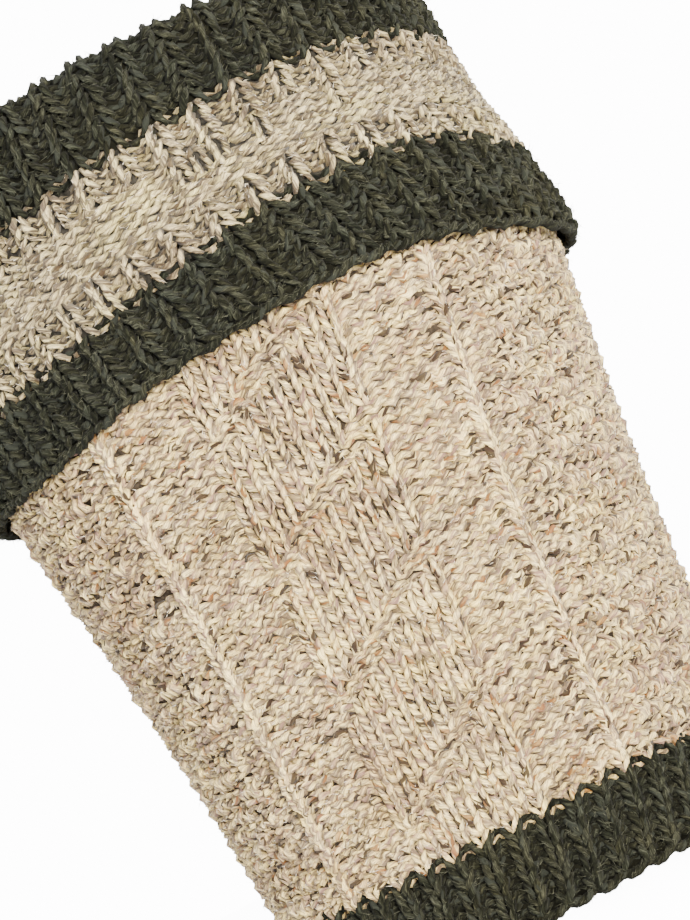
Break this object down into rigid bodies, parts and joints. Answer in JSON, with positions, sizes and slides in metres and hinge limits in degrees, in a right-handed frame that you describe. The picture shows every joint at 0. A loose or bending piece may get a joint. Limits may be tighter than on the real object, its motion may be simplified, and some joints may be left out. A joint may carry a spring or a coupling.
{
  "type": "calf warmer",
  "caption": "Knitted calf warmer: a tapered tube in beige tweed with dark green ribs at the ankle and at the turned-down, striped cuff.",
  "frame": {"origin": "on the axis of the tube at half its height, where the leg passes through it", "axes": "+Z along the leg from the ankle end towards the knee end; the front panel faces -Y and +X is to the right of it"},
  "size_m": [0.1281, 0.1284, 0.1746],
  "materials": {
    "beige_knit": "thick tweed wool yarn, light beige with darker and warmer flecks",
    "green_knit": "thick wool yarn, dark grey green with lighter fibres"
  },
  "bodies": {
    "root": {"ankle_rib": "green_knit", "body_tube": "beige_knit", "fold_rib": "green_knit", "cuff_stripe": "beige_knit", "cuff_rib": "green_knit"}
  },
  "joints": []
}
